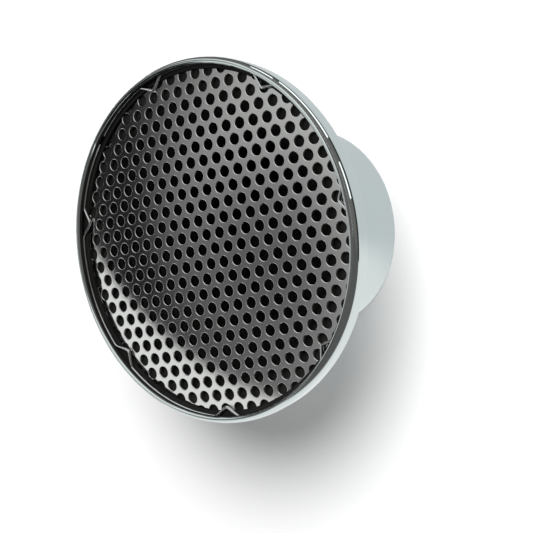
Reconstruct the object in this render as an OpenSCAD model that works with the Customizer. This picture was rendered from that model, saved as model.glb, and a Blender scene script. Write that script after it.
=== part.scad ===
// Velocity stack air cleaner: a one-piece chromed horn, a domed perforated screen laid in its mouth,
// and a kinked wire ring that snaps into a groove under the lip and holds the screen down.
// It stands on its neck. The origin is the centre of the neck's end, and +Z runs out of the mouth.

/* [Horn] */
// Widest outside diameter, over the rolled lip of the mouth
mouth_d = 103.2; // [98:0.1:110]
// Length from the end of the neck to the front of the lip
horn_len = 50.8; // [48:0.1:60]
// Half the width of the lip's nose, seen from the front
lip_half = 1.1; // [0.9:0.05:1.3]
// Height of the lip's nose, from its crest down to where the horn is widest
lip_rise = 2.6; // [1.8:0.1:3.6]
// Depth of the lip, from its front down to the roof of the ring groove
lip_depth = 1.35; // [1.2:0.05:1.7]
// Length of the rim band, from the front of the lip to the band's back face
rim_len = 7.6; // [7:0.1:9]
// How far the band leans in towards its back
rim_lean = 10; // [4:0.5:14]
// Rounding of the band's back edge
rim_round = 0.6; // [0.4:0.1:1.2]
// Outside diameter of the neck
neck_d = 58.7; // [56.5:0.1:64]
// Wall of the neck, whose bore slips over the mouth of the carburettor
neck_wall = 2.35; // [1.5:0.05:5]
// Straight length of the neck, below the flare
neck_len = 22.5; // [16:0.5:26]
// Rounding of the neck's outer edge
neck_round = 0.5; // [0.2:0.1:1]

/* [Screen] */
// How much smaller the screen is than the opening inside the lip, on the radius
screen_inset = 1.35; // [0.7:0.05:2]
// Thickness of the perforated sheet
screen_t = 1; // [0.7:0.1:1.3]
// Height of the dome, from the screen's edge to its middle
dome_rise = 2.75; // [1.5:0.05:3.2]
// Diameter of a perforation
hole_d = 3.175; // [2.6:0.025:3.6]
// Distance between the centres of neighbouring perforations
hole_pitch = 4.7625; // [4.4:0.0125:6]
// Where the nearest perforation lies from the middle of the disc, along the rows
pattern_x = 0.56; // [0:0.01:2.3]
// Where the nearest perforation lies from the middle of the disc, across the rows
pattern_y = 1.88; // [0:0.01:2]
// Gap round the screen in its recess
screen_gap = 0.3; // [0.15:0.05:0.5]
// How far the screen's edge lies below the floor of the ring groove
screen_drop = 0.25; // [0.15:0.05:0.6]
// Width of the ledge under the screen's edge
ledge_w = 1.8; // [1:0.1:2.5]

/* [Retaining ring] */
// Diameter of the spring wire
wire_d = 0.9; // [0.7:0.05:1.1]
// Gap that the wire keeps to the groove
ring_gap = 0.1; // [0.05:0.05:0.2]
// Radial depth of the groove, from the inside of the lip
groove_depth = 1; // [0.9:0.05:1.1]
// Height of the groove
groove_h = 1.5; // [1.3:0.05:1.7]
// Number of kinks that reach in over the screen
kink_count = 7; // [5:1:9]
// Angle between the first and the last kink, over the ring's open ends
open_angle = 60.6; // [50:0.1:80]
// Direction of the first kink
first_kink = 166.3; // [0:0.1:359]
// How far a kink reaches in from the ring
kink_depth = 2.8; // [2:0.1:3.4]
// Half the angle that a kink takes out of the ring
kink_half = 5.4; // [4.8:0.1:7]
// Bend of the wire at the tip of a kink
tip_bend = 0.9; // [0.7:0.05:1.2]
// Bend of the wire where a kink leaves the ring
base_bend = 1.6; // [1:0.1:2.2]
// Clear distance between the ring's two ends
end_gap = 3; // [1:0.5:12]

/* [Hidden] */

// Facets of a full turn, and steps of the rounds and of the bell
$fn = 144;
DOME_FN = 1800;
HOLE_FN = 24;
WIRE_FN = 24;
ROUND_STEPS = 12;
BELL_STEPS = 28;
// A perforation that would bite less than this share of its radius out of the edge is left out
EDGE_BITE = 0.2;
// How far a cutting body stands clear of what it cuts
MARGIN = 1;
// Play left under the screen's edge
SEAT_PLAY = 0.05;
// How far neighbouring stretches of the wire run into each other
WIRE_LAP = 0.05;
// How much thicker the wire is where it is bent
BEND_SWELL = 0.03;
CHROME = [0.82, 0.84, 0.85];
POLISHED = [0.7, 0.71, 0.72];
WIRE = [0.62, 0.62, 0.6];

// Radii of the horn
mouth_r = mouth_d / 2;
neck_r = neck_d / 2;
bore_r = neck_r - neck_wall;

// The lip's nose is part of an ellipse, from where the band touches it to the roof of the ring groove
lip_centre = [mouth_r - lip_half, horn_len - lip_rise];
lip_start = -atan(tan(rim_lean) * lip_rise / lip_half);
lip_end = 180 - asin(1 - lip_depth / lip_rise);

// The band touches the nose and the round of its own back edge. Places are given as [radius, height]
band_normal = [cos(rim_lean), -sin(rim_lean)];
band_reach = lip_centre * band_normal + norm([lip_half * cos(rim_lean), lip_rise * sin(rim_lean)]);
rim_back_z = horn_len - rim_len;
back_z = rim_back_z + rim_round;
back_centre = [(band_reach - rim_round + back_z * sin(rim_lean)) / cos(rim_lean), back_z];

// The groove under the lip, the recess of the screen and the ledge that carries it
lip_in_r = lip_centre.x + lip_half * cos(lip_end);
groove_r = lip_in_r + groove_depth;
groove_top = horn_len - lip_depth;
groove_floor = groove_top - groove_h;
screen_r = lip_in_r - screen_inset;
recess_r = screen_r + screen_gap;
screen_edge_z = groove_floor - screen_drop;
dome_top = screen_edge_z + dome_rise;
dome_r = (pow(screen_r, 2) + pow(dome_rise, 2)) / (2 * dome_rise);
ledge_z = screen_edge_z - screen_t - SEAT_PLAY;
ledge_r = recess_r - ledge_w;

// The ring's centre line, the thickness of its bends, and the middle of its open ends
ring_r = groove_r - ring_gap - wire_d / 2;
ring_z = groove_floor + ring_gap + wire_d / 2;
kink_pitch = (360 - open_angle) / (kink_count - 1);
last_kink = first_kink + (kink_count - 1) * kink_pitch;
open_middle = last_kink + open_angle / 2;
end_half = turned(end_gap / 2 + WIRE_LAP, ring_r);
bend_d = wire_d + BEND_SWELL;

// Centres of a kink's bends, with the kink turned to +X, and the heading of its lower arm
tip_centre = [ring_r - kink_depth + tip_bend, 0];
base_centre = (ring_r - base_bend) * [cos(kink_half), -sin(kink_half)];
arm_heading = cross_heading(base_centre, base_bend, tip_centre, tip_bend);
arm_side = [-sin(arm_heading), cos(arm_heading)];
arm_start = base_centre - base_bend * arm_side;
arm_end = tip_centre + tip_bend * arm_side;

// Angle that a length takes on a circle
function turned(length, radius) = length / radius * 180 / PI;

// Heading of the line that leaves one circle on its right and passes the other on its left
function cross_heading(c1, r1, c2, r2) =
    atan2(c2.y - c1.y, c2.x - c1.x) + asin((r1 + r2) / norm(c2 - c1));

// Points along part of an ellipse, from its centre and its two half axes
function oval(centre, half, from, to, steps) =
    [for (i = [0:steps])
        let (a = from + (to - from) * i / steps)
        centre + [half.x * cos(a), half.y * sin(a)]];

// Points along a circular arc
function arc(centre, radius, from, to, steps) = oval(centre, [radius, radius], from, to, steps);

// Points along a quarter ellipse that leaves the neck upright and ends level under the mouth
function bell(start, end, steps) =
    oval([end.x, start.y], [start.x - end.x, end.y - start.y], 0, 90, steps);

// Points of a list in reverse order
function reversed(points) = [for (i = [len(points) - 1:-1:0]) points[i]];

// Half section of the horn: up the outside, over the lip, through the groove and down the bell
function horn_section() = concat(
    [[bore_r, 0]],
    arc([neck_r - neck_round, neck_round], neck_round, -90, 0, ROUND_STEPS),
    bell([neck_r, neck_len], [back_centre.x, rim_back_z], BELL_STEPS),
    arc(back_centre, rim_round, -90, -rim_lean, ROUND_STEPS),
    oval(lip_centre, [lip_half, lip_rise], lip_start, lip_end, 2 * ROUND_STEPS),
    [
        [groove_r, groove_top],
        [groove_r, groove_floor],
        [recess_r, groove_floor],
        [recess_r, ledge_z]
    ],
    reversed(bell([bore_r, neck_len], [ledge_r, ledge_z], BELL_STEPS))
);

module horn() {
    color(CHROME)
    rotate_extrude()
    polygon(horn_section());
}

// The dome as a plain sheet, before it is perforated
module dome() {
    rotate_extrude()
    intersection() {
        translate([0, screen_edge_z - screen_t - MARGIN])
        square([screen_r, dome_rise + screen_t + 2 * MARGIN]);
        translate([0, dome_top - dome_r])
        difference() {
            circle(r = dome_r, $fn = DOME_FN);
            circle(r = dome_r - screen_t, $fn = DOME_FN);
        }
    }
}

// Staggered rows of holes over the whole disc, which the disc's edge cuts through
module perforations() {
    row_pitch = hole_pitch * sin(60);
    rows = ceil(screen_r / row_pitch) + 1;
    columns = ceil(screen_r / hole_pitch) + 1;
    reach = screen_r + hole_d / 2 * (1 - EDGE_BITE);
    for (row = [-rows:rows])
        for (column = [-columns:columns]) {
            x = pattern_x + hole_pitch * (column + abs(row % 2) / 2);
            y = pattern_y + row_pitch * row;
            if (norm([x, y]) < reach)
                translate([x, y])
                circle(d = hole_d, $fn = HOLE_FN);
        }
}

module screen() {
    cut_z = screen_edge_z - screen_t - MARGIN;
    color(POLISHED)
    difference() {
        dome();
        translate([0, 0, cut_z])
        linear_extrude(dome_top - cut_z + MARGIN)
        perforations();
    }
}

module wire_arc(centre, radius, from, to, thickness = wire_d) {
    lap = turned(WIRE_LAP, radius);
    translate([centre.x, centre.y, ring_z])
    rotate([0, 0, from - lap])
    rotate_extrude(angle = to - from + 2 * lap)
    translate([radius, 0])
    circle(d = thickness, $fn = WIRE_FN);
}

module wire_arm(from, to) {
    run = to - from;
    start = from - WIRE_LAP * run / norm(run);
    translate([start.x, start.y, ring_z])
    rotate([0, 90, atan2(run.y, run.x)])
    cylinder(d = wire_d, h = norm(run) + 2 * WIRE_LAP, $fn = WIRE_FN);
}

// A kink that reaches in from +X: a bend and an arm on either side of its tip
module kink() {
    for (side = [0, 1])
        mirror([0, side, 0]) {
            wire_arc(base_centre, base_bend, -kink_half, arm_heading - 90, bend_d);
            wire_arm(arm_start, arm_end);
        }
    wire_arc(tip_centre, tip_bend, 270 - arm_heading, arm_heading + 90, bend_d);
}

module retaining_ring() {
    color(WIRE) {
        for (k = [0:kink_count - 1])
            rotate([0, 0, first_kink + k * kink_pitch])
            kink();
        for (k = [0:kink_count - 2]) {
            turn = first_kink + k * kink_pitch;
            wire_arc([0, 0], ring_r, turn + kink_half, turn + kink_pitch - kink_half);
        }
        wire_arc([0, 0], ring_r, last_kink + kink_half, open_middle - end_half);
        wire_arc([0, 0], ring_r, open_middle + end_half, first_kink + 360 - kink_half);
    }
}

horn();
screen();
retaining_ring();
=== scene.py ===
"""The finish of a velocity stack air cleaner, laid out as an add-on.

A chromed horn stands on its neck. A domed perforated screen lies in its mouth, under a kinked wire ring.
Every piece is made in metres in the part's own frame: the origin is the centre of the neck's end.
"""

import math

import bpy
import numpy as np
from mathutils import Matrix, Vector


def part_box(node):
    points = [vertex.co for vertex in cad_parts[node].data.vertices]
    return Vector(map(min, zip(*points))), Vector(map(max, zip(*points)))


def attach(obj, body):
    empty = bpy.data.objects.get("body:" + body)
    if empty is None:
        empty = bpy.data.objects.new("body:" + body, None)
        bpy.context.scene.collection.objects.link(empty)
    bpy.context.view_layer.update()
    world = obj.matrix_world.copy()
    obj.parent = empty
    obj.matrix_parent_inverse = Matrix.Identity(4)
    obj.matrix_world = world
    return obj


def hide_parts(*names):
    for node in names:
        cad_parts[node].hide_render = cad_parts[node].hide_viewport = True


bl_info = {
    "name": "Velocity stack air cleaner",
    "version": (1, 0, 0),
    "blender": (4, 5, 0),
    "location": "View3D > Sidebar > Velocity stack",
    "description": "Makes a chromed intake horn with a perforated screen and a wire ring",
    "category": "Object",
}

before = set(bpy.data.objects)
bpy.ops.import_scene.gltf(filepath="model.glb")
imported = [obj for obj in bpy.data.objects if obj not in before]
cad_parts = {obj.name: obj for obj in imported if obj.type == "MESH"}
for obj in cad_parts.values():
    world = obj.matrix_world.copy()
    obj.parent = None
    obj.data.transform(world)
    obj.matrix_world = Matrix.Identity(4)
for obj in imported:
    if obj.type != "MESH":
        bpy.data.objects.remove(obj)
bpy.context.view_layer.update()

MM = 0.001
BODY = "root"
WHITE = "#FFFFFF"

# Sizes that follow from the solids
HORN_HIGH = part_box("horn")[1]
SCREEN_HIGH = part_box("screen")[1]
RING_LOW, RING_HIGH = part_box("retaining_ring")
MOUTH_RADIUS = HORN_HIGH.x
HORN_LENGTH = HORN_HIGH.z
SCREEN_RADIUS = SCREEN_HIGH.y
WIRE_THICKNESS = RING_HIGH.z - RING_LOW.z
RING_HEIGHT = (RING_HIGH.z + RING_LOW.z) / 2

# Where the camera of the photograph stood, what it was aimed at, and which way was up in the picture
CAMERA_PLACE = Vector((343.24, -12.02, 442.22)) * MM
CAMERA_AIM = Vector((-0.16, -9.37, 25.5)) * MM
CAMERA_UP = Vector((0.11815, 0.98881, -0.09107))
CAMERA_LENS = 125.43
SENSOR_WIDTH = 36.0
CAMERA_CLIP = (0.01, 50.0)

# The floor's half width, how much it glows, and the painted shade on the floor that shows through the neck's bore
FLOOR_HALF = 4.0
FLOOR_LIFT = 0.12
BORE_PAINTED_SHADE_RADIUS = 28 * MM
BORE_PAINTED_SHADE = "#161616"

# Where the main light shines to
SUN_WAY = Vector((-0.54, -0.565, -1.0))

# What the chrome sees of the studio above the floor. Each wall lies towards a direction, fades in between two
# cosines of the angle to it, and covers the walls before it
STUDIO_BASE = "#282828"
STUDIO_WALLS = (
    # A large pale ceiling, with a dark gap in it
    ((-0.27, 0.11, 0.96), (0.81, 1.0), "#CECECE"),
    ((-0.55, -0.03, 0.83), (0.965, 1.015), "#303030"),
    # The white paper sweep, which fills all but a cone round the opposite direction
    ((0.28, -0.46, -0.84), (-0.718, -0.70), "#F5F5F5"),
    # The dark room: before the paper, past it and over the horn's top
    ((0.2, -0.91, 0.35), (0.4, 0.55), "#2C2C2C"),
    ((1.0, 0.1, 0.0), (-0.05, 0.2), "#6C6866"),
    ((0.0, 0.96, -0.29), (0.15, 0.4), "#6C6866"),
    # A large window and a smaller one
    ((0.1, 0.68, 0.73), (0.80, 0.88), "#F2F2F2"),
    ((-0.45, 0.85, 0.25), (0.92, 0.97), "#F2F2F2"),
)

# A white sheet that leans beside the horn, which only its chrome sees: two points of it, and its outline in mm
# from the first one, to the side and up the sheet
SHEET_FOOT = Vector((0.0, -30.5, 0.5)) * MM
SHEET_RIM = Vector((0.0, -52.5, 50.0)) * MM
SHEET_OUTLINE = ((-40.0, 0.0), (350.0, 0.0), (350.0, 120.0), (5.0, 120.0), (5.0, 61.0), (-40.0, 61.0))
# The horn's shadow is painted on the sheet, and fades in between two distances along a direction, and between two
# places to the right
SHADE_WAY = (0.58, 0.0, 0.81)
SHADE_ALONG = (52 * MM, 56 * MM)
SHADE_RIGHT = (6 * MM, 20 * MM)
SHEET_TONES = ("#F6F6F6", "#62605F")

# Cards on the floor round the horn, which only its chrome sees: nearest and furthest radius in mm, first and last
# direction in degrees, and height over the floor in mm
GREY_PAPER = (29.4, 91.0, -75.0, 135.0, 0.1)
CLOTH = (90.0, 1500.0, -34.0, 135.0, 0.2)
CLOTH_FRONT = (130.0, 1500.0, -190.0, -98.0, 0.2)
STRIP_LIGHTS = (
    (114.0, 148.0, 9.0, 26.0, 0.4),
    (102.0, 131.0, 38.0, 73.0, 0.4),
    (120.0, 170.0, 77.0, 89.0, 0.4),
)
STRIP_STRENGTH = 1.6
CARD_STEPS = 24
# Where the paper turns from white to grey across the picture, and the cloth from dark to lighter round the horn
PAPER_FADE = (-22 * MM, -6 * MM)
PAPER_TONES = ("#F6F6F6", "#DADCDE")
CLOTH_FADE = (92 * MM, 125 * MM)
CLOTH_TONES = ("#201F1F", "#74716F")

# A stretch of the horn's outline gets points near its ends if it's longer than this many times their distance
LONG_STRETCH = 5
HOLD = 0.1 * MM
# Edges of the horn that bend more than this look sharp
CREASE = math.radians(35)
# A face of the horn gets painted shade instead of chrome if the outward part of its normal, times its radius,
# is under the first of these, and the upward part of its normal is over the second
INWARD_LIMIT = 0.1 * MM
UPWARD_LIMIT = -0.5

# How finely the horn's outline is cut up: its rounds at the neck and the band's back, its flare, nose and bell
NECK_STEPS = 8
BACK_STEPS = 12
FLARE_STEPS = 40
NOSE_STEPS = 60
BELL_STEPS = 32
# How finely the pieces are cut up: steps round the horn, points round a hole, corners of the screen's edge,
# points along the ring and round its wire
HORN_STEPS = 288
HOLE_POINTS = 18
EDGE_CORNERS = 360
RING_POINTS = 1800
WIRE_POINTS = 16
# How the parts of the screen's surface are told apart: its top by depth, its underside by the height of a face's
# normal, and its outer edge by nearness to its radius and by how level a face's normal lies
TOP_DEPTH = 0.002 * MM
UNDERSIDE = -0.7
EDGE_DEPTH = 0.02 * MM
EDGE_LEAN = 0.3
# Points closer than this are one point: where a turned section closes, and where cells of the screen meet
SAME_POINT = 0.001 * MM
SAME_CORNER = 0.01 * MM


def length(name, description, default):
    """A size of a piece, in metres."""
    return bpy.props.FloatProperty(
        name=name, description=description, default=default, min=0.0, unit="LENGTH", subtype="DISTANCE", precision=5
    )


def angle(name, description, degrees):
    """A direction or an angular width."""
    return bpy.props.FloatProperty(
        name=name, description=description, default=math.radians(degrees), unit="ROTATION", subtype="ANGLE"
    )


def linear(hex_colour):
    """Turns an sRGB hex colour to linear red, green and blue, with an alpha of one."""
    parts = [int(hex_colour[i:i + 2], 16) / 255 for i in (1, 3, 5)]
    return [c / 12.92 if c <= 0.04045 else ((c + 0.055) / 1.055) ** 2.4 for c in parts] + [1.0]


def colour(name, description, hex_colour):
    """A colour of a finish."""
    return bpy.props.FloatVectorProperty(
        name=name, description=description, default=linear(hex_colour), size=4, subtype="COLOR", min=0.0, max=1.0
    )


def add(tree, kind, inputs=None, **settings):
    """Adds a node with its settings. Inputs pair a socket's name or number with a value or another node's output."""
    made = tree.nodes.new(kind)
    for name, value in settings.items():
        setattr(made, name, value)
    for key, value in (inputs or {}).items():
        if isinstance(value, bpy.types.NodeSocket):
            tree.links.new(value, made.inputs[key])
        else:
            made.inputs[key].default_value = value
    return made


# Meshes


def new_tree(name, sizes):
    """A Geometry Nodes tree with a mesh going in and out, a material, and a named input for each size."""
    tree = bpy.data.node_groups.new(name, "GeometryNodeTree")
    tree.interface.new_socket("Geometry", in_out="INPUT", socket_type="NodeSocketGeometry")
    tree.interface.new_socket("Geometry", in_out="OUTPUT", socket_type="NodeSocketGeometry")
    for finish in ("Material", "Inside Material"):
        tree.interface.new_socket(finish, in_out="INPUT", socket_type="NodeSocketMaterial")
    for size, value in sizes.items():
        kind = "NodeSocketInt" if isinstance(value, int) else "NodeSocketFloat"
        tree.interface.new_socket(size, in_out="INPUT", socket_type=kind)
    return tree, tree.nodes.new("NodeGroupInput").outputs


def end_tree(tree, given, geometry, inside=None):
    """Ends a tree as a plain mesh with its material, and a second material on the faces that are inside."""
    real = add(tree, "GeometryNodeRealizeInstances", {"Geometry": geometry})
    painted = add(
        tree, "GeometryNodeSetMaterial", {"Geometry": real.outputs["Geometry"], "Material": given["Material"]}
    )
    if inside:
        shaded = {"Geometry": painted.outputs["Geometry"], "Selection": inside, "Material": given["Inside Material"]}
        painted = add(tree, "GeometryNodeSetMaterial", shaded)
    add(tree, "NodeGroupOutput", {"Geometry": painted.outputs["Geometry"]})


def grow(name, tree, start, sizes, material, inside=None):
    """Runs a tree on a starting mesh and keeps the result as a plain mesh object."""
    made = bpy.data.objects.new(name, start)
    bpy.context.scene.collection.objects.link(made)
    modifier = made.modifiers.new(tree.name, "NODES")
    modifier.node_group = tree
    for item in tree.interface.items_tree:
        if item.name in sizes:
            modifier[item.identifier] = sizes[item.name]
        elif item.name == "Material":
            modifier[item.identifier] = material
        elif item.name == "Inside Material" and inside:
            modifier[item.identifier] = inside
    evaluated = made.evaluated_get(bpy.context.evaluated_depsgraph_get())
    result = bpy.data.meshes.new_from_object(evaluated)
    made.modifiers.clear()
    made.data = result
    result.name = name
    bpy.data.meshes.remove(start)
    if not result.polygons:
        raise RuntimeError(f"{name} came out empty")
    return made


def place(made, node):
    """Lets a finished piece stand for its solid and ride with it."""
    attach(made, BODY)
    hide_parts(node)


def oval(centre, wide, high, start, end, steps):
    """Points along part of an ellipse, as (radius, height) pairs, from its centre and its two half axes."""
    turns = [start + (end - start) * i / steps for i in range(steps + 1)]
    return [(centre[0] + wide * math.cos(a), centre[1] + high * math.sin(a)) for a in turns]


def bell(start, end, steps):
    """Points along a quarter ellipse that leaves the neck upright and ends level under the mouth."""
    return oval((end[0], start[1]), start[0] - end[0], end[1] - start[1], 0.0, math.pi / 2, steps)


def held(points, hold):
    """Adds points at a short distance from the ends of straight stretches, so that their shading stays flat."""
    kept = []
    for a, b in zip(points, points[1:] + points[:1]):
        run = math.dist(a, b)
        kept.append(a)
        if run > LONG_STRETCH * hold:
            for share in (hold / run, 1 - hold / run):
                kept.append((a[0] + (b[0] - a[0]) * share, a[1] + (b[1] - a[1]) * share))
    return kept


class HornSizes(bpy.types.PropertyGroup):
    """Sizes and finish of the horn."""

    lip_half: length("Lip half width", "Half the width of the lip's nose, seen from the front", 1.1 * MM)
    lip_rise: length("Lip rise", "From the lip's crest down to where the horn is widest", 2.6 * MM)
    lip_depth: length("Lip depth", "From the front of the lip to the roof of the ring groove", 1.35 * MM)
    # Below this depth inside the lip the horn gets painted shade instead of chrome
    painted_shade_depth: length("Plate depth", "How far the bright plate reaches down inside the lip", 0.55 * MM)
    groove_depth: length("Groove depth", "How far the ring groove goes in behind the lip", 1.0 * MM)
    groove_height: length("Groove height", "Height of the ring groove", 1.5 * MM)
    screen_gap: length("Screen gap", "Gap round the screen in its recess", 0.3 * MM)
    screen_drop: length("Screen drop", "How far the screen's edge lies below the groove's floor", 0.25 * MM)
    ledge_width: length("Ledge width", "Width of the ledge under the screen's edge", 1.8 * MM)
    ledge_drop: length("Ledge drop", "How far the ledge lies below the top of the screen's edge", 1.05 * MM)
    rim_length: length("Rim length", "From the front of the lip to the band's back face", 7.6 * MM)
    rim_lean: angle("Rim lean", "How far the band leans in towards its back", 10.0)
    rim_round: length("Rim round", "Rounding of the band's back edge", 0.6 * MM)
    neck_radius: length("Neck radius", "Outside radius of the neck", 29.35 * MM)
    bore_radius: length("Bore radius", "Radius of the neck's bore", 27.0 * MM)
    neck_length: length("Neck length", "Straight length of the neck", 22.5 * MM)
    neck_round: length("Neck round", "Rounding of the neck's outer edge", 0.5 * MM)
    chrome: colour("Chrome", "Colour of the chrome plate", "#D6E0DF")
    # The inside colour is painted shade: a dark tone for the bell, its groove and recess, where little light gets in
    inside: colour("Inside", "Colour of the bare casting inside the bell", "#282827")


class ScreenSizes(bpy.types.PropertyGroup):
    """Sizes and finish of the screen."""

    thickness: length("Thickness", "Thickness of the sheet", 1.0 * MM)
    rise: length("Rise", "Height of the dome over the screen's edge", 2.75 * MM)
    hole_radius: length("Hole radius", "Radius of a perforation", 1.5875 * MM)
    hole_round: length("Hole round", "Rounding of a perforation's edge", 0.26 * MM)
    pitch: length("Pitch", "Distance between neighbouring perforations", 4.7625 * MM)
    pattern_x: length("Pattern X", "Where the nearest perforation lies along the rows", 0.56 * MM)
    pattern_y: length("Pattern Y", "Where the nearest perforation lies across the rows", 1.88 * MM)
    chrome: colour("Chrome", "Colour of the plated sheet", "#DCDEDC")


class RingSizes(bpy.types.PropertyGroup):
    """Sizes and finish of the wire ring."""

    radius: length("Radius", "Radius of the wire's centre line between its kinks", RING_HIGH.y - WIRE_THICKNESS / 2)
    kinks: bpy.props.IntProperty(name="Kinks", description="Number of kinks", default=7, min=1)
    first_kink: angle("First kink", "Direction of the first kink", 166.3)
    open_angle: angle("Open angle", "Angle from the last kink round to the first, over the open ends", 60.6)
    kink_depth: length("Kink depth", "How far a kink reaches in", 2.8 * MM)
    tip_bend: length("Tip bend", "Bend of the wire at the tip of a kink", 0.9 * MM)
    base_blend: length("Base blend", "Softness of the bends where a kink leaves the ring", 0.7 * MM)
    arm_slope: bpy.props.FloatProperty(name="Arm slope", description="Steepness of a kink's arms", default=0.78)
    end_gap: length("End gap", "Clear distance between the wire's ends", 3.0 * MM)
    wire: colour("Wire", "Colour of the bright wire", "#D6D8D8")


def horn_outline(sizes):
    """Closed half section of the horn, as (radius, height) pairs: up the outside, over the lip, down the bell."""
    quarter = math.pi / 2
    lean = sizes.rim_lean
    # The lip's nose is part of an ellipse, from where the band touches it to the roof of the ring groove
    nose = (MOUTH_RADIUS - sizes.lip_half, HORN_LENGTH - sizes.lip_rise)
    nose_start = -math.atan(math.tan(lean) * sizes.lip_rise / sizes.lip_half)
    nose_end = math.pi - math.asin(1 - sizes.lip_depth / sizes.lip_rise)
    # The band touches the nose and the round of its own back edge
    stretch = math.hypot(sizes.lip_half * math.cos(lean), sizes.lip_rise * math.sin(lean))
    reach = nose[0] * math.cos(lean) - nose[1] * math.sin(lean) + stretch
    back_height = HORN_LENGTH - sizes.rim_length
    round_height = back_height + sizes.rim_round
    back = ((reach - sizes.rim_round + round_height * math.sin(lean)) / math.cos(lean), round_height)
    groove = nose[0] + sizes.lip_half * math.cos(nose_end) + sizes.groove_depth
    groove_top = HORN_LENGTH - sizes.lip_depth
    groove_floor = groove_top - sizes.groove_height
    recess = SCREEN_RADIUS + sizes.screen_gap
    ledge = (recess - sizes.ledge_width, groove_floor - sizes.screen_drop - sizes.ledge_drop)
    neck = (sizes.neck_radius - sizes.neck_round, sizes.neck_round)
    points = [(sizes.bore_radius, 0.0)]
    points += oval(neck, sizes.neck_round, sizes.neck_round, -quarter, 0.0, NECK_STEPS)
    points += bell((sizes.neck_radius, sizes.neck_length), (back[0], back_height), FLARE_STEPS)
    points += oval(back, sizes.rim_round, sizes.rim_round, -quarter, -lean, BACK_STEPS)[1:]
    points += oval(nose, sizes.lip_half, sizes.lip_rise, nose_start, nose_end, NOSE_STEPS)
    points += [(groove, groove_top), (groove, groove_floor), (recess, groove_floor), (recess, ledge[1])]
    points += bell((sizes.bore_radius, sizes.neck_length), ledge, BELL_STEPS)[::-1]
    return held(points, HOLD)


def creased(tree, geometry):
    """Shades a mesh smooth, except over its sharp edges."""
    smooth = add(tree, "GeometryNodeSetShadeSmooth", {"Geometry": geometry}, domain="FACE")
    bend = add(tree, "GeometryNodeInputMeshEdgeAngle").outputs["Unsigned Angle"]
    sharp = add(tree, "ShaderNodeMath", {0: bend, 1: CREASE}, operation="GREATER_THAN")
    return add(
        tree,
        "GeometryNodeSetShadeSmooth",
        {"Geometry": smooth.outputs[0], "Selection": sharp.outputs[0], "Shade Smooth": False},
        domain="EDGE",
    ).outputs[0]


def painted_shade_faces(tree, given):
    """Finds the faces with painted shade: those below the lip that face inwards and not steeply down."""
    where = add(tree, "GeometryNodeInputPosition").outputs[0]
    facing = add(tree, "GeometryNodeInputNormal").outputs[0]
    outwards = add(tree, "ShaderNodeVectorMath", {0: where, 1: (1.0, 1.0, 0.0)}, operation="MULTIPLY")
    turned_out = add(tree, "ShaderNodeVectorMath", {0: facing, 1: outwards.outputs[0]}, operation="DOT_PRODUCT")
    inwards = add(tree, "ShaderNodeMath", {0: turned_out.outputs["Value"], 1: INWARD_LIMIT}, operation="LESS_THAN")
    rise = add(tree, "ShaderNodeSeparateXYZ", {0: facing}).outputs["Z"]
    upwards = add(tree, "ShaderNodeMath", {0: rise, 1: UPWARD_LIMIT}, operation="GREATER_THAN")
    height = add(tree, "ShaderNodeSeparateXYZ", {0: where}).outputs["Z"]
    low = add(tree, "ShaderNodeMath", {0: height, 1: given["Painted Shade Height"]}, operation="LESS_THAN")
    inner = add(tree, "FunctionNodeBooleanMath", {0: inwards.outputs[0], 1: upwards.outputs[0]}, operation="AND")
    return add(tree, "FunctionNodeBooleanMath", {0: inner.outputs[0], 1: low.outputs[0]}, operation="AND").outputs[0]


def turning_tree(sizes):
    """A tree that turns a closed half section about the Z axis. The section's X is a radius and its Z a height."""
    tree, given = new_tree("Turned section", sizes)
    size = add(tree, "GeometryNodeAttributeDomainSize", {"Geometry": given["Geometry"]})
    count = size.outputs["Point Count"]
    columns = add(tree, "ShaderNodeMath", {0: given["Steps"], 1: 1.0}, operation="ADD")
    rows = add(tree, "ShaderNodeMath", {0: count, 1: 1.0}, operation="ADD")
    grid = add(
        tree,
        "GeometryNodeMeshGrid",
        {"Size X": 1.0, "Size Y": 1.0, "Vertices X": columns.outputs[0], "Vertices Y": rows.outputs[0]},
    )
    # Across the grid each column is a direction, and along it each row is a point of the section
    here = add(tree, "GeometryNodeInputPosition").outputs[0]
    spot = add(tree, "ShaderNodeSeparateXYZ", {0: here}).outputs
    turn = add(tree, "ShaderNodeMapRange", {0: spot["X"], 1: -0.5, 2: 0.5, 3: 0.0, 4: math.tau}, clamp=False)
    share = add(tree, "ShaderNodeMath", {0: spot["Y"], 1: 0.5}, operation="ADD")
    step = add(tree, "ShaderNodeMath", {0: share.outputs[0], 1: count}, operation="MULTIPLY")
    whole = add(tree, "ShaderNodeMath", {0: step.outputs[0]}, operation="ROUND")
    index = add(tree, "ShaderNodeMath", {0: whole.outputs[0], 1: count}, operation="MODULO")
    section = add(
        tree, "GeometryNodeSampleIndex", {"Geometry": given["Geometry"], "Value": here}, data_type="FLOAT_VECTOR"
    )
    tree.links.new(index.outputs[0], section.inputs["Index"])
    swung = {"Vector": section.outputs[0], "Angle": turn.outputs[0]}
    turned = add(tree, "ShaderNodeVectorRotate", swung, rotation_type="Z_AXIS")
    laid = add(tree, "GeometryNodeSetPosition", {"Geometry": grid.outputs["Mesh"], "Position": turned.outputs[0]})
    closed = add(tree, "GeometryNodeMergeByDistance", {"Geometry": laid.outputs[0], "Distance": SAME_POINT})
    end_tree(tree, given, creased(tree, closed.outputs[0]), painted_shade_faces(tree, given))
    return tree


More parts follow.
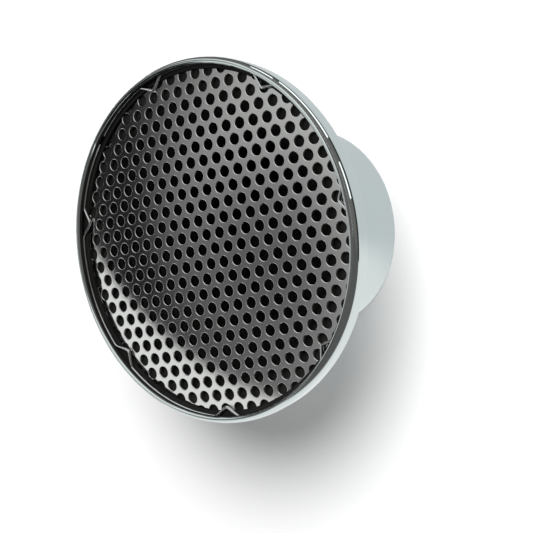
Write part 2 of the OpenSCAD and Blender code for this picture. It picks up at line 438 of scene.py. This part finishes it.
class VELOCITY_STACK_OT_horn(bpy.types.Operator):
    """Turn the horn and give it its chrome"""

    bl_idname = "velocity_stack.horn"
    bl_label = "Horn"

    def execute(self, context):
        sizes = context.scene.velocity_stack_horn
        outline = horn_outline(sizes)
        start = bpy.data.meshes.new("horn_section")
        edges = [(i, (i + 1) % len(outline)) for i in range(len(outline))]
        start.from_pydata([(r, 0.0, z) for r, z in outline], edges, [])
        given = {"Steps": HORN_STEPS, "Painted Shade Height": HORN_LENGTH - sizes.painted_shade_depth}
        # The second finish is painted shade on the inside of the bell, its groove and recess
        finishes = (cast_chrome(sizes.chrome), inside_painted_shade(sizes.inside))
        made = grow("horn_chromed", turning_tree(given), start, given, *finishes)
        place(made, "horn")
        return {"FINISHED"}


def hole_cell(sizes):
    """One hexagon of flat sheet round one rounded hole. Its top lies at height zero."""
    # The points start half a step round, so that some of them are the hexagon's corners
    turns = [math.tau * (i + 0.5) / HOLE_POINTS for i in range(HOLE_POINTS)]
    sixth = math.pi / 3
    reach = [sizes.pitch / 2 / math.cos((a + sixth / 2) % sixth - sixth / 2) for a in turns]
    lean = math.pi / 4
    rings = [
        (reach, 0.0),
        ([sizes.hole_radius + sizes.hole_round] * HOLE_POINTS, 0.0),
        (
            [sizes.hole_radius + sizes.hole_round * (1 - math.sin(lean))] * HOLE_POINTS,
            -sizes.hole_round * (1 - math.cos(lean)),
        ),
        ([sizes.hole_radius] * HOLE_POINTS, -sizes.hole_round),
        ([sizes.hole_radius] * HOLE_POINTS, -sizes.thickness),
        (reach, -sizes.thickness),
    ]
    points = [(r * math.cos(a), r * math.sin(a), z) for radii, z in rings for r, a in zip(radii, turns)]
    faces = []
    for ring in range(len(rings) - 1):
        for i in range(HOLE_POINTS):
            near, far = ring * HOLE_POINTS, (ring + 1) * HOLE_POINTS
            after = (i + 1) % HOLE_POINTS
            faces.append((near + i, near + after, far + after, far + i))
    mesh = bpy.data.meshes.new("hole_cell")
    mesh.from_pydata(points, [], faces)
    return mesh


def lattice_points(tree, given):
    """Lays the points of a staggered lattice over the disc, and finds the ones near enough to be used."""
    row_pitch = add(tree, "ShaderNodeMath", {0: given["Pitch"], 1: math.sin(math.pi / 3)}, operation="MULTIPLY")
    rows = add(tree, "ShaderNodeMath", {0: given["Radius"], 1: row_pitch.outputs[0]}, operation="DIVIDE")
    whole_rows = add(tree, "ShaderNodeMath", {0: rows.outputs[0]}, operation="CEIL")
    half = add(tree, "ShaderNodeMath", {0: whole_rows.outputs[0], 1: 1.0}, operation="ADD")
    spans = add(tree, "ShaderNodeMath", {0: half.outputs[0], 1: 2.0}, operation="MULTIPLY")
    count = add(tree, "ShaderNodeMath", {0: spans.outputs[0], 1: 1.0}, operation="ADD").outputs[0]
    wide = add(tree, "ShaderNodeMath", {0: spans.outputs[0], 1: given["Pitch"]}, operation="MULTIPLY")
    high = add(tree, "ShaderNodeMath", {0: spans.outputs[0], 1: row_pitch.outputs[0]}, operation="MULTIPLY")
    size = {"Size X": wide.outputs[0], "Size Y": high.outputs[0]}
    grid = add(tree, "GeometryNodeMeshGrid", {**size, "Vertices X": count, "Vertices Y": count})
    # Every other row is shifted by half a pitch
    here = add(tree, "GeometryNodeInputPosition").outputs[0]
    across = add(tree, "ShaderNodeSeparateXYZ", {0: here}).outputs["Y"]
    row = add(tree, "ShaderNodeMath", {0: across, 1: row_pitch.outputs[0]}, operation="DIVIDE")
    row_whole = add(tree, "ShaderNodeMath", {0: row.outputs[0]}, operation="ROUND")
    odd = add(tree, "ShaderNodeMath", {0: row_whole.outputs[0], 1: 2.0}, operation="FLOORED_MODULO")
    half_odd = add(tree, "ShaderNodeMath", {0: odd.outputs[0], 1: 0.5}, operation="MULTIPLY")
    sideways = {0: half_odd.outputs[0], 1: given["Pitch"], 2: given["Pattern X"]}
    shift = add(tree, "ShaderNodeMath", sideways, operation="MULTIPLY_ADD")
    offset = add(tree, "ShaderNodeCombineXYZ", {0: shift.outputs[0], 1: given["Pattern Y"]})
    lattice = add(tree, "GeometryNodeSetPosition", {"Geometry": grid.outputs["Mesh"], "Offset": offset.outputs[0]})
    reach = add(tree, "ShaderNodeVectorMath", {0: here}, operation="LENGTH")
    limit = add(tree, "ShaderNodeMath", {0: given["Radius"], 1: given["Pitch"]}, operation="ADD")
    near = add(tree, "ShaderNodeMath", {0: reach.outputs["Value"], 1: limit.outputs[0]}, operation="LESS_THAN")
    return lattice.outputs[0], near.outputs[0]


def walled(tree, given, sheet):
    """Closes a sheet's open outer edge by pulling its top edges down to its underside."""
    neighbours = add(tree, "GeometryNodeInputMeshEdgeNeighbors").outputs[0]
    open_edge = add(tree, "FunctionNodeCompare", {2: neighbours, 3: 1}, data_type="INT", operation="EQUAL")
    here = add(tree, "GeometryNodeInputPosition").outputs[0]
    height = add(tree, "ShaderNodeSeparateXYZ", {0: here}).outputs["Z"]
    on_top = add(tree, "ShaderNodeMath", {0: height, 1: -SAME_POINT}, operation="GREATER_THAN")
    top_edge = add(tree, "FunctionNodeBooleanMath", {0: open_edge.outputs[0], 1: on_top.outputs[0]}, operation="AND")
    down = add(tree, "ShaderNodeMath", {0: given["Thickness"], 1: -1.0}, operation="MULTIPLY")
    drop = add(tree, "ShaderNodeCombineXYZ", {2: down.outputs[0]})
    pulled = {"Mesh": sheet, "Selection": top_edge.outputs[0], "Offset": drop.outputs[0]}
    wall = add(tree, "GeometryNodeExtrudeMesh", pulled, mode="EDGES")
    return add(tree, "GeometryNodeMergeByDistance", {"Geometry": wall.outputs[0], "Distance": SAME_CORNER}).outputs[0]


def dome_lift(tree, given):
    """How far each point of the flat disc is lifted: most in the middle, and less with the square of its radius."""
    here = add(tree, "GeometryNodeInputPosition").outputs[0]
    flat = add(tree, "ShaderNodeVectorMath", {0: here, 1: (1.0, 1.0, 0.0)}, operation="MULTIPLY")
    reach = add(tree, "ShaderNodeVectorMath", {0: flat.outputs[0]}, operation="LENGTH")
    part = add(tree, "ShaderNodeMath", {0: reach.outputs["Value"], 1: given["Radius"]}, operation="DIVIDE")
    square = add(tree, "ShaderNodeMath", {0: part.outputs[0], 1: 2.0}, operation="POWER")
    fall = add(tree, "ShaderNodeMath", {0: square.outputs[0], 1: given["Rise"]}, operation="MULTIPLY")
    lift = add(tree, "ShaderNodeMath", {0: given["Top"], 1: fall.outputs[0]}, operation="SUBTRACT")
    return add(tree, "ShaderNodeCombineXYZ", {2: lift.outputs[0]}).outputs[0]


def screen_tree(sizes):
    """A tree that lays a hole's cell on a staggered lattice, trims it to a disc and lifts it to a dome."""
    tree, given = new_tree("Perforated dome", sizes)
    points, near = lattice_points(tree, given)
    laid = {"Points": points, "Selection": near, "Instance": given["Geometry"]}
    cells = add(tree, "GeometryNodeInstanceOnPoints", laid)
    real = add(tree, "GeometryNodeRealizeInstances", {"Geometry": cells.outputs[0]})
    joined = add(tree, "GeometryNodeMergeByDistance", {"Geometry": real.outputs[0], "Distance": SAME_CORNER})
    closed = walled(tree, given, joined.outputs[0])
    # The disc that trims the sheet reaches well over and under it
    depth = add(tree, "ShaderNodeMath", {0: given["Thickness"], 1: 4.0}, operation="MULTIPLY")
    size = {"Vertices": EDGE_CORNERS, "Radius": given["Radius"], "Depth": depth.outputs[0]}
    disc = add(tree, "GeometryNodeMeshCylinder", size)
    trimmed = add(tree, "GeometryNodeMeshBoolean", operation="INTERSECT", solver="MANIFOLD")
    for solid in (closed, disc.outputs["Mesh"]):
        tree.links.new(solid, trimmed.inputs["Mesh 2"])
    raised = {"Geometry": trimmed.outputs["Mesh"], "Offset": dome_lift(tree, given)}
    domed = add(tree, "GeometryNodeSetPosition", raised)
    end_tree(tree, given, domed.outputs[0])
    return tree


def read(items, name, width, kind=float):
    """Reads one value, or a row of values, from each of a mesh's parts."""
    values = np.zeros(len(items) * width, kind)
    items.foreach_get(name, values)
    return values.reshape(-1, width) if width > 1 else values


def nearest_hole(spots, sizes):
    """The flat direction from each spot to the middle of the nearest hole on the staggered lattice."""
    row_pitch = sizes.pitch * math.sin(math.pi / 3)
    best = np.full(len(spots), np.inf)
    inward = np.zeros((len(spots), 2))
    base_row = np.round((spots[:, 1] - sizes.pattern_y) / row_pitch)
    for step in (-1, 0, 1):
        row = base_row + step
        shift = sizes.pattern_x + np.mod(row, 2) * sizes.pitch / 2
        x = shift + np.round((spots[:, 0] - shift) / sizes.pitch) * sizes.pitch
        y = sizes.pattern_y + row * row_pitch
        away = np.column_stack([x, y]) - spots[:, :2]
        distance = np.hypot(away[:, 0], away[:, 1])
        closer = distance < best
        best[closer] = distance[closer]
        inward[closer] = away[closer] / distance[closer][:, None]
    return inward


def sheet_normals(mesh, sizes):
    """Gives the screen the exact normals of a domed sheet with rounded holes, so that its chrome reflects cleanly."""
    spots = read(mesh.vertices, "co", 3)[read(mesh.loops, "vertex_index", 1, int)]
    totals = read(mesh.polygons, "loop_total", 1, int)
    facing = np.repeat(read(mesh.polygons, "normal", 3), totals, axis=0)
    middles = np.repeat(read(mesh.polygons, "center", 3), totals, axis=0)
    reach = np.hypot(spots[:, 0], spots[:, 1])
    # The height over the sheet's top, as if the sheet were flat
    height = spots[:, 2] - SCREEN_HIGH.z + sizes.rise * (reach / SCREEN_RADIUS) ** 2
    upright = np.clip(1 + height / sizes.hole_round, 0, 1)
    level = np.sqrt(1 - upright ** 2)
    normals = np.column_stack([nearest_hole(spots, sizes) * level[:, None], upright])
    normals[height > -TOP_DEPTH] = (0, 0, 1)
    normals[facing[:, 2] < UNDERSIDE] = (0, 0, -1)
    outer = np.hypot(middles[:, 0], middles[:, 1]) > SCREEN_RADIUS - EDGE_DEPTH
    edge = outer & (abs(facing[:, 2]) < EDGE_LEAN)
    normals[edge] = np.column_stack([spots[:, :2] / reach[:, None], np.zeros(len(spots))])[edge]
    slope = -2 * sizes.rise / SCREEN_RADIUS ** 2 * spots[:, :2]
    normals[:, :2] -= normals[:, 2:] * slope
    normals /= np.linalg.norm(normals, axis=1)[:, None]
    mesh.polygons.foreach_set("use_smooth", [True] * len(mesh.polygons))
    mesh.normals_split_custom_set(normals.tolist())


class VELOCITY_STACK_OT_screen(bpy.types.Operator):
    """Punch and dome the screen and give it its chrome"""

    bl_idname = "velocity_stack.screen"
    bl_label = "Screen"

    def execute(self, context):
        sizes = context.scene.velocity_stack_screen
        given = {
            "Radius": SCREEN_RADIUS,
            "Top": SCREEN_HIGH.z,
            "Rise": sizes.rise,
            "Thickness": sizes.thickness,
            "Pitch": sizes.pitch,
            "Pattern X": sizes.pattern_x,
            "Pattern Y": sizes.pattern_y,
        }
        made = grow("screen_chromed", screen_tree(given), hole_cell(sizes), given, sheet_chrome(sizes.chrome))
        sheet_normals(made.data, sizes)
        place(made, "screen")
        return {"FINISHED"}


def kink_reach(tree, given, turn):
    """How far the ring reaches in at each direction: along a rounded V at each kink, and nowhere else."""
    past = add(tree, "ShaderNodeMath", {0: turn, 1: given["First Kink"]}, operation="SUBTRACT")
    order = add(tree, "ShaderNodeMath", {0: past.outputs[0], 1: given["Kink Pitch"]}, operation="DIVIDE")
    nearest = add(tree, "ShaderNodeMath", {0: order.outputs[0]}, operation="ROUND")
    last = add(tree, "ShaderNodeMath", {0: given["Kinks"], 1: 1.0}, operation="SUBTRACT")
    kink = add(tree, "ShaderNodeClamp", {"Value": nearest.outputs[0], "Min": 0.0, "Max": last.outputs[0]})
    back = add(tree, "ShaderNodeMath", {0: kink.outputs[0], 1: given["Kink Pitch"]}, operation="MULTIPLY")
    aside = add(tree, "ShaderNodeMath", {0: past.outputs[0], 1: back.outputs[0]}, operation="SUBTRACT")
    across = add(tree, "ShaderNodeMath", {0: aside.outputs[0], 1: given["Radius"]}, operation="MULTIPLY")
    # The depth falls off along straight arms from a round tip, and blends into the ring
    across_square = add(tree, "ShaderNodeMath", {0: across.outputs[0], 1: 2.0}, operation="POWER")
    tip_square = add(tree, "ShaderNodeMath", {0: given["Tip"], 1: 2.0}, operation="POWER")
    both = add(tree, "ShaderNodeMath", {0: across_square.outputs[0], 1: tip_square.outputs[0]}, operation="ADD")
    rounded = add(tree, "ShaderNodeMath", {0: both.outputs[0]}, operation="SQRT")
    sunk = add(tree, "ShaderNodeMath", {0: rounded.outputs[0], 1: given["Tip"]}, operation="SUBTRACT")
    fall = add(tree, "ShaderNodeMath", {0: sunk.outputs[0], 1: given["Slope"]}, operation="MULTIPLY")
    depth = add(tree, "ShaderNodeMath", {0: given["Depth"], 1: fall.outputs[0]}, operation="SUBTRACT")
    soft = {0: depth.outputs[0], 1: 0.0, 2: given["Blend"]}
    return add(tree, "ShaderNodeMath", soft, operation="SMOOTH_MAX").outputs[0]


def ring_tree(sizes):
    """A tree that bends a wire to an open ring with kinks that point inwards."""
    tree, given = new_tree("Kinked ring", sizes)
    line = add(tree, "GeometryNodeCurvePrimitiveLine")
    dense = add(tree, "GeometryNodeResampleCurve", {"Curve": line.outputs["Curve"], "Count": given["Points"]})
    along = add(tree, "GeometryNodeSplineParameter").outputs["Factor"]
    ends = {0: along, 1: 0.0, 2: 1.0, 3: given["Start"], 4: given["End"]}
    turn = add(tree, "ShaderNodeMapRange", ends, clamp=False).outputs[0]
    reach = kink_reach(tree, given, turn)
    radius = add(tree, "ShaderNodeMath", {0: given["Radius"], 1: reach}, operation="SUBTRACT")
    out = add(tree, "ShaderNodeCombineXYZ", {0: radius.outputs[0], 2: given["Height"]})
    turned = add(tree, "ShaderNodeVectorRotate", {"Vector": out.outputs[0], "Angle": turn}, rotation_type="Z_AXIS")
    bent = add(tree, "GeometryNodeSetPosition", {"Geometry": dense.outputs[0], "Position": turned.outputs[0]})
    flat = add(tree, "GeometryNodeSetCurveNormal", {"Curve": bent.outputs[0]}, mode="Z_UP")
    round_wire = add(
        tree, "GeometryNodeCurvePrimitiveCircle", {"Resolution": WIRE_POINTS, "Radius": given["Wire Radius"]}
    )
    wire = add(
        tree,
        "GeometryNodeCurveToMesh",
        {"Curve": flat.outputs[0], "Profile Curve": round_wire.outputs["Curve"], "Fill Caps": True},
    )
    end_tree(tree, given, wire.outputs[0])
    return tree


class VELOCITY_STACK_OT_ring(bpy.types.Operator):
    """Bend the wire ring and give it its finish"""

    bl_idname = "velocity_stack.ring"
    bl_label = "Retaining ring"

    def execute(self, context):
        sizes = context.scene.velocity_stack_ring
        pitch = (math.tau - sizes.open_angle) / (sizes.kinks - 1)
        half_gap = sizes.end_gap / 2 / sizes.radius
        given = {
            "Points": RING_POINTS,
            "Kinks": sizes.kinks,
            "Start": sizes.first_kink - sizes.open_angle / 2 + half_gap,
            "End": sizes.first_kink + math.tau - sizes.open_angle / 2 - half_gap,
            "First Kink": sizes.first_kink,
            "Kink Pitch": pitch,
            "Radius": sizes.radius,
            "Height": RING_HEIGHT,
            "Depth": sizes.kink_depth,
            "Tip": sizes.tip_bend * sizes.arm_slope,
            "Slope": sizes.arm_slope,
            "Blend": sizes.base_blend,
            "Wire Radius": WIRE_THICKNESS / 2,
        }
        start = bpy.data.meshes.new("ring_start")
        made = grow("retaining_ring_plated", ring_tree(given), start, given, bright_wire(sizes.wire))
        place(made, "retaining_ring")
        return {"FINISHED"}


# Materials


def new_material(name):
    """An empty node material."""
    material = bpy.data.materials.new(name)
    material.use_nodes = True
    material.node_tree.nodes.clear()
    return material, material.node_tree


def fade(tree, value, start, end):
    """A soft step from 0 to 1 between two values."""
    made = add(
        tree, "ShaderNodeMapRange", {0: value, 1: start, 2: end, 3: 0.0, 4: 1.0}, interpolation_type="SMOOTHSTEP"
    )
    return made.outputs[0]


def blend(tree, share, first, second, way="MIX"):
    """A share of the second colour over the first. Each is a hex colour, a colour or another node's output."""
    first, second = (linear(tone) if isinstance(tone, str) else tone for tone in (first, second))
    mixed = add(tree, "ShaderNodeMix", {0: share, 6: first, 7: second}, data_type="RGBA", blend_type=way)
    return mixed.outputs[2]


def plated(name, base, roughness, wave, wave_height, grain=None, grain_height=None):
    """Bright chrome plate. Long low waves come from the polishing, and fine grain from the metal under the plate.

    A slow haze, a few waves wide, makes some places a little duller than others.
    """
    material, tree = new_material(name)
    spot = add(tree, "ShaderNodeTexCoord").outputs["Object"]
    haze = add(tree, "ShaderNodeTexNoise", {"Vector": spot, "Scale": 1 / (3 * wave), "Detail": 3.0})
    dull = add(
        tree,
        "ShaderNodeMapRange",
        {0: haze.outputs["Fac"], 1: 0.3, 2: 0.7, 3: roughness * 0.7, 4: roughness * 1.4},
    )
    waves = add(tree, "ShaderNodeTexNoise", {"Vector": spot, "Scale": 1 / wave, "Detail": 1.0, "Roughness": 0.4})
    bump = add(tree, "ShaderNodeBump", {"Strength": 1.0, "Distance": wave_height, "Height": waves.outputs["Fac"]})
    if grain:
        grains = add(tree, "ShaderNodeTexNoise", {"Vector": spot, "Scale": 1 / grain, "Detail": 2.0})
        under = {"Height": grains.outputs["Fac"], "Normal": bump.outputs["Normal"]}
        bump = add(tree, "ShaderNodeBump", {"Strength": 1.0, "Distance": grain_height, **under})
    surface = {"Base Color": base, "Roughness": dull.outputs[0], "Normal": bump.outputs["Normal"]}
    shader = add(tree, "ShaderNodeBsdfPrincipled", {"Metallic": 1.0, **surface})
    add(tree, "ShaderNodeOutputMaterial", {"Surface": shader.outputs[0]})
    return material


def cast_chrome(base):
    """Chrome plate on polished cast aluminium: a mirror that bends straight lines a little."""
    return plated("chrome_on_polished_casting", base, roughness=0.05, wave=14 * MM, wave_height=0.004 * MM)


def inside_painted_shade(base):
    """Painted shade for the bell's inside, groove and recess: a dark tone on a dull, pebbly skin with stains."""
    material, tree = new_material("inside_painted_shade_casting")
    spot = add(tree, "ShaderNodeTexCoord").outputs["Object"]
    pebbles = add(tree, "ShaderNodeTexNoise", {"Vector": spot, "Scale": 1 / (0.8 * MM), "Detail": 3.0})
    stains = add(tree, "ShaderNodeTexNoise", {"Vector": spot, "Scale": 1 / (12 * MM), "Detail": 2.0})
    tone = blend(tree, stains.outputs["Fac"], base, "#9A9A98", "MULTIPLY")
    bump = add(tree, "ShaderNodeBump", {"Strength": 1.0, "Distance": 0.05 * MM, "Height": pebbles.outputs["Fac"]})
    shader = add(
        tree,
        "ShaderNodeBsdfPrincipled",
        {"Base Color": tone, "Metallic": 0.5, "Roughness": 0.6, "Normal": bump.outputs["Normal"]},
    )
    add(tree, "ShaderNodeOutputMaterial", {"Surface": shader.outputs[0]})
    return material


def sheet_chrome(base):
    """Chrome plate on rolled perforated steel: a slightly grainy mirror, from the rolling under the plate."""
    waves = {"wave": 9 * MM, "wave_height": 0.003 * MM}
    return plated("chrome_on_rolled_sheet", base, 0.06, **waves, grain=0.4 * MM, grain_height=0.0016 * MM)


def bright_wire(base):
    """Bright plated spring wire: shiny, with faint drawing marks."""
    waves = {"wave": 5 * MM, "wave_height": 0.001 * MM}
    return plated("bright_spring_wire", base, 0.12, **waves, grain=0.3 * MM, grain_height=0.0005 * MM)


# Stage


class StageLook(bpy.types.PropertyGroup):
    """The floor and the light."""

    floor: colour("Floor", "Colour of the pale floor", "#E6E6E6")
    sun: bpy.props.FloatProperty(name="Sun", description="Strength of the main light", default=4.3, min=0.0)
    sky: bpy.props.FloatProperty(name="Sky", description="Strength of the light from all round", default=0.16, min=0.0)
    softness: angle("Softness", "Angular width of the main light, which softens the shadow", 36.0)


def floor_material(paint):
    """Seamless matt paper with a fine grain: white to the camera and in reflections, where no shadow falls on it.

    Inside the neck's bore it has painted shade: a dark tone, without the glow.
    """
    material, tree = new_material("matt_studio_paper")
    spot = add(tree, "ShaderNodeTexCoord").outputs["Object"]
    path = add(tree, "ShaderNodeLightPath").outputs
    # Within a radius of the middle the floor gets painted shade: a dark tone and no glow
    middle = add(tree, "ShaderNodeVectorMath", {0: spot}, operation="LENGTH")
    strength = add(
        tree, "ShaderNodeMath", {0: middle.outputs["Value"], 1: BORE_PAINTED_SHADE_RADIUS}, operation="GREATER_THAN"
    ).outputs[0]
    tone = blend(tree, strength, BORE_PAINTED_SHADE, paint)
    seen = path["Is Camera Ray"]
    for ray in ("Is Glossy Ray", "Is Transmission Ray"):
        seen = add(tree, "ShaderNodeMath", {0: seen, 1: path[ray]}, operation="MAXIMUM").outputs[0]
    for part in (seen, FLOOR_LIFT):
        strength = add(tree, "ShaderNodeMath", {0: strength, 1: part}, operation="MULTIPLY").outputs[0]
    grain = add(tree, "ShaderNodeTexNoise", {"Vector": spot, "Scale": 1 / (2 * MM), "Detail": 2.0})
    bump = add(tree, "ShaderNodeBump", {"Strength": 0.2, "Distance": 0.01 * MM, "Height": grain.outputs["Fac"]})
    matt = add(tree, "ShaderNodeBsdfDiffuse", {"Color": tone, "Normal": bump.outputs["Normal"]})
    glow = add(tree, "ShaderNodeEmission", {"Color": linear(WHITE), "Strength": strength})
    both = add(tree, "ShaderNodeAddShader", {0: matt.outputs[0], 1: glow.outputs[0]})
    add(tree, "ShaderNodeOutputMaterial", {"Surface": both.outputs[0]})
    return material


def studio_world(sky):
    """White to the camera, even light on matt surfaces, and a studio of soft dark and light walls in the chrome."""
    world = bpy.data.worlds.new("studio")
    bpy.context.scene.world = world
    world.use_nodes = True
    tree = world.node_tree
    tree.nodes.clear()
    way = add(tree, "ShaderNodeTexCoord").outputs["Generated"]
    path = add(tree, "ShaderNodeLightPath").outputs
    walls = STUDIO_BASE
    for towards, edge, tone in STUDIO_WALLS:
        side = add(tree, "ShaderNodeVectorMath", {0: way, 1: Vector(towards).normalized()}, operation="DOT_PRODUCT")
        walls = blend(tree, fade(tree, side.outputs["Value"], *edge), walls, tone)
    shown = add(tree, "ShaderNodeBackground", {"Color": linear(WHITE), "Strength": sky}).outputs[0]
    for ray, tone in (("Is Glossy Ray", walls), ("Is Camera Ray", linear(WHITE))):
        light = add(tree, "ShaderNodeBackground", {"Color": tone, "Strength": 1.0})
        shown = add(tree, "ShaderNodeMixShader", {0: path[ray], 1: shown, 2: light.outputs[0]}).outputs[0]
    add(tree, "ShaderNodeOutputWorld", {"Surface": shown})


def glowing(name, tone, strength=1.0):
    """A plain shader that only shows a tone, for cards that the chrome reflects."""
    material, tree = new_material(name)
    glow = add(tree, "ShaderNodeEmission", {"Color": tone(tree), "Strength": strength})
    add(tree, "ShaderNodeOutputMaterial", {"Surface": glow.outputs[0]})
    return material


def sheet_tone(tree):
    """White card, with the horn's soft shadow painted on its right."""
    spot = add(tree, "ShaderNodeTexCoord").outputs["Object"]
    along = add(tree, "ShaderNodeVectorMath", {0: spot, 1: SHADE_WAY}, operation="DOT_PRODUCT").outputs["Value"]
    right = add(tree, "ShaderNodeSeparateXYZ", {0: spot}).outputs["X"]
    parts = {0: fade(tree, along, *SHADE_ALONG), 1: fade(tree, right, *SHADE_RIGHT)}
    shade = add(tree, "ShaderNodeMath", parts, operation="MULTIPLY")
    return blend(tree, shade.outputs[0], *SHEET_TONES)


def paper_tone(tree):
    """Pale grey paper that turns white towards the sheet."""
    spot = add(tree, "ShaderNodeTexCoord").outputs["Object"]
    aside = add(tree, "ShaderNodeSeparateXYZ", {0: spot}).outputs["Y"]
    return blend(tree, fade(tree, aside, *PAPER_FADE), *PAPER_TONES)


def cloth_tone(tree):
    """Dark cloth, darkest where it meets the paper."""
    spot = add(tree, "ShaderNodeTexCoord").outputs["Object"]
    reach = add(tree, "ShaderNodeVectorMath", {0: spot}, operation="LENGTH").outputs["Value"]
    return blend(tree, fade(tree, reach, *CLOTH_FADE), *CLOTH_TONES)


def strip_tone(tree):
    """The white diffuser of a strip light, evenly lit."""
    return linear(WHITE)


def put_up(name, points, material):
    """Puts up a flat card that only the chrome sees."""
    mesh = bpy.data.meshes.new(name)
    mesh.from_pydata(points, [], [tuple(range(len(points)))])
    mesh.materials.append(material)
    card = bpy.data.objects.new(name, mesh)
    card.visible_camera = False
    card.visible_diffuse = False
    card.visible_shadow = False
    card.visible_transmission = False
    bpy.context.scene.collection.objects.link(card)


def arc_card(name, shape, material):
    """Puts up a flat card shaped as part of a ring round the horn."""
    near, far, first, last, height = shape
    turns = [math.radians(first + (last - first) * i / CARD_STEPS) for i in range(CARD_STEPS + 1)]
    points = [(far * math.cos(a), far * math.sin(a), height) for a in turns]
    points += [(near * math.cos(a), near * math.sin(a), height) for a in reversed(turns)]
    put_up(name, [Vector(point) * MM for point in points], material)


def studio_cards():
    """Puts up what the chrome sees near the horn: a white sheet, grey paper, dark cloth and strip lights."""
    up = (SHEET_RIM - SHEET_FOOT).normalized()
    corners = [SHEET_FOOT + up * (height * MM) + Vector((side * MM, 0, 0)) for side, height in SHEET_OUTLINE]
    put_up("white_sheet", corners, glowing("matt_white_card", sheet_tone))
    arc_card("grey_paper", GREY_PAPER, glowing("pale_grey_paper", paper_tone))
    cloth = glowing("dark_cotton_cloth", cloth_tone)
    arc_card("dark_cloth", CLOTH, cloth)
    arc_card("dark_cloth_front", CLOTH_FRONT, cloth)
    light = glowing("strip_light", strip_tone, STRIP_STRENGTH)
    for number, shape in enumerate(STRIP_LIGHTS):
        arc_card(f"strip_light_{number}", shape, light)


def lay_floor(paint):
    """Lays a large flat floor at height zero."""
    mesh = bpy.data.meshes.new("floor")
    corners = [(x * FLOOR_HALF, y * FLOOR_HALF, 0) for x, y in ((-1, -1), (1, -1), (1, 1), (-1, 1))]
    mesh.from_pydata(corners, [], [(0, 1, 2, 3)])
    mesh.materials.append(floor_material(paint))
    floor = bpy.data.objects.new("floor", mesh)
    bpy.context.scene.collection.objects.link(floor)


def hang_sun(look):
    """Hangs the main light, which the chrome doesn't see."""
    lamp = bpy.data.lights.new("main_light", "SUN")
    lamp.energy = look.sun
    lamp.angle = look.softness
    sun = bpy.data.objects.new("main_light", lamp)
    sun.rotation_euler = SUN_WAY.to_track_quat("-Z", "Y").to_euler()
    sun.visible_glossy = False
    bpy.context.scene.collection.objects.link(sun)


def set_camera():
    """Sets the camera where the photograph was taken from."""
    lens = bpy.data.cameras.new("camera")
    lens.lens = CAMERA_LENS
    lens.sensor_width = SENSOR_WIDTH
    lens.clip_start, lens.clip_end = CAMERA_CLIP
    camera = bpy.data.objects.new("camera", lens)
    back = (CAMERA_PLACE - CAMERA_AIM).normalized()
    right = CAMERA_UP.cross(back).normalized()
    turn = Matrix((right, back.cross(right), back)).transposed()
    camera.matrix_world = Matrix.Translation(CAMERA_PLACE) @ turn.to_4x4()
    bpy.context.scene.collection.objects.link(camera)
    bpy.context.scene.camera = camera


class VELOCITY_STACK_OT_stage(bpy.types.Operator):
    """Set up the floor, the light and the camera"""

    bl_idname = "velocity_stack.stage"
    bl_label = "Stage"

    def execute(self, context):
        look = context.scene.velocity_stack_stage
        lay_floor(look.floor)
        studio_cards()
        studio_world(look.sky)
        hang_sun(look)
        set_camera()
        context.scene.view_settings.view_transform = "Standard"
        return {"FINISHED"}


class VELOCITY_STACK_PT_panel(bpy.types.Panel):
    """Lists the pieces in the sidebar of the 3D view"""

    bl_idname = "VELOCITY_STACK_PT_panel"
    bl_label = "Velocity stack"
    bl_space_type = "VIEW_3D"
    bl_region_type = "UI"
    bl_category = "Velocity stack"

    def draw(self, context):
        for operator in OPERATORS:
            self.layout.operator(operator.bl_idname)


OPERATORS = (
    VELOCITY_STACK_OT_horn,
    VELOCITY_STACK_OT_screen,
    VELOCITY_STACK_OT_ring,
    VELOCITY_STACK_OT_stage,
)
GROUPS = {
    "velocity_stack_horn": HornSizes,
    "velocity_stack_screen": ScreenSizes,
    "velocity_stack_ring": RingSizes,
    "velocity_stack_stage": StageLook,
}


def register():
    """Adds the sizes, the operators and the panel to Blender."""
    for item in (*GROUPS.values(), *OPERATORS, VELOCITY_STACK_PT_panel):
        bpy.utils.register_class(item)
    for name, group in GROUPS.items():
        setattr(bpy.types.Scene, name, bpy.props.PointerProperty(type=group))


def unregister():
    """Takes away what register added."""
    for name in GROUPS:
        delattr(bpy.types.Scene, name)
    for item in (VELOCITY_STACK_PT_panel, *reversed(OPERATORS), *GROUPS.values()):
        bpy.utils.unregister_class(item)


def main():
    """Makes every piece and the stage."""
    register()
    bpy.ops.velocity_stack.horn()
    bpy.ops.velocity_stack.screen()
    bpy.ops.velocity_stack.ring()
    bpy.ops.velocity_stack.stage()


if __name__ == "__main__":
    main()
